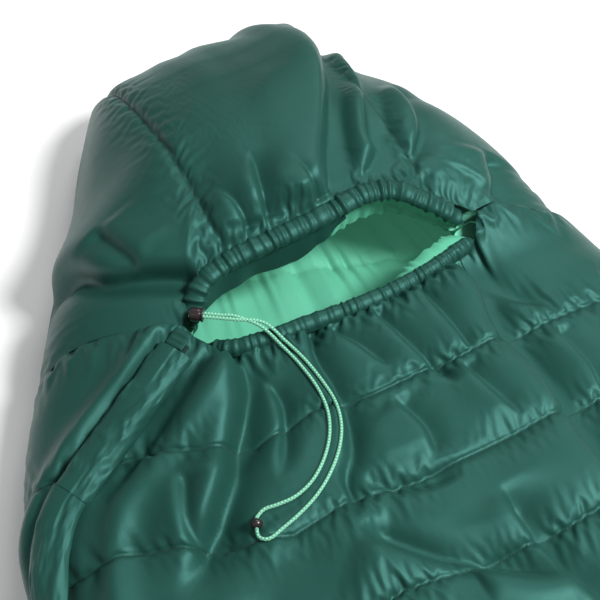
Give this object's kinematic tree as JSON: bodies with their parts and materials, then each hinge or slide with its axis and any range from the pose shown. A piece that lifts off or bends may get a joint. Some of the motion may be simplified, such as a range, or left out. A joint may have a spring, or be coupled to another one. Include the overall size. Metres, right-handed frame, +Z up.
{
  "type": "mummy sleeping bag",
  "caption": "Mummy sleeping bag lying on its back, with a three-panel hood, a gathered face opening drawn by a cord and lock, and a covered side zip.",
  "frame": {"origin": "on the floor under the middle of the bag", "axes": "+Y towards the head end, +Z up from the back to the front panel, +X towards the sleeper's left side"},
  "size_m": [0.8321, 2.15, 0.2375],
  "materials": {
    "shell": "dark green woven nylon, satin",
    "insulation": "white polyester fibre fill",
    "lining": "mint green woven nylon, soft satin",
    "hem": "dark green woven nylon, gathered",
    "cord": "light mint braided polyester",
    "hardware": "near-black moulded plastic",
    "spring": "bright steel wire",
    "tape": "dark green woven zip tape",
    "coil": "dark green nylon coil",
    "slider": "black painted zinc"
  },
  "bodies": {
    "bag": {"back_shell": "shell", "back_insulation": "insulation", "back_lining": "lining", "front_shell": "shell", "front_insulation": "insulation", "front_lining": "lining", "footbox_shell": "shell", "footbox_insulation": "insulation", "footbox_lining": "lining", "hood_shell_left": "shell", "hood_shell_centre": "shell", "hood_shell_right": "shell", "hood_insulation": "insulation", "hood_lining": "lining", "hood_hem_channel": "hem", "neck_hem_channel": "hem", "hood_facing": "hem", "hood_channel_cord": "cord", "neck_channel_cord": "cord", "drawcord_loop": "cord", "cord_end_bead": "hardware", "zip_tape_front": "tape", "zip_tape_side": "tape", "zip_coil_front": "coil", "zip_coil_side": "coil", "zip_draft_tube": "lining", "zip_flap_lower": "shell"},
    "cord_lock": {"cord_lock_barrel": "hardware", "cord_lock_spring": "spring"},
    "plunger": {"cord_lock_plunger": "hardware"},
    "zip_slider": {"zip_slider": "slider"},
    "zip_pull": {"zip_pull": "slider"},
    "zip_flap": {"zip_flap_upper": "shell"},
    "zip_tab": {"zip_top_tab": "hem"}
  },
  "joints": [
    {"name": "cord_lock_slide", "type": "slide", "parent": "bag", "child": "cord_lock", "axis": [0.8829, -0.4695, 0], "range_m": [0, 0.035]},
    {"name": "plunger_press", "type": "slide", "parent": "cord_lock", "child": "plunger", "axis": [0, 0, 1], "range_m": [0, 0.002], "stiffness_N_per_m": 500, "springref_m": -0.002, "deforming": ["cord_lock_spring"]},
    {"name": "zip_slide", "type": "slide", "parent": "bag", "child": "zip_slider", "axis": [-0.8093, -0.5511, -0.2032], "range_m": [0, 0.12]},
    {"name": "zip_pull_swing", "type": "hinge", "parent": "zip_slider", "child": "zip_pull", "pos_m": [-0.19759, 0.5667, 0.16278], "axis": [-0.5301, 0.8343, -0.1514], "range_deg": [0, 20]},
    {"name": "zip_flap_fold", "type": "hinge", "parent": "bag", "child": "zip_flap", "pos_m": [-0.24073, 0.5095, 0.14524], "axis": [0.8093, 0.5511, 0.2032], "range_deg": [0, 110]},
    {"name": "zip_tab_fold", "type": "hinge", "parent": "bag", "child": "zip_tab", "pos_m": [-0.16647, 0.57319, 0.16886], "axis": [0.8093, 0.5511, 0.2032], "range_deg": [0, 110]}
  ]
}
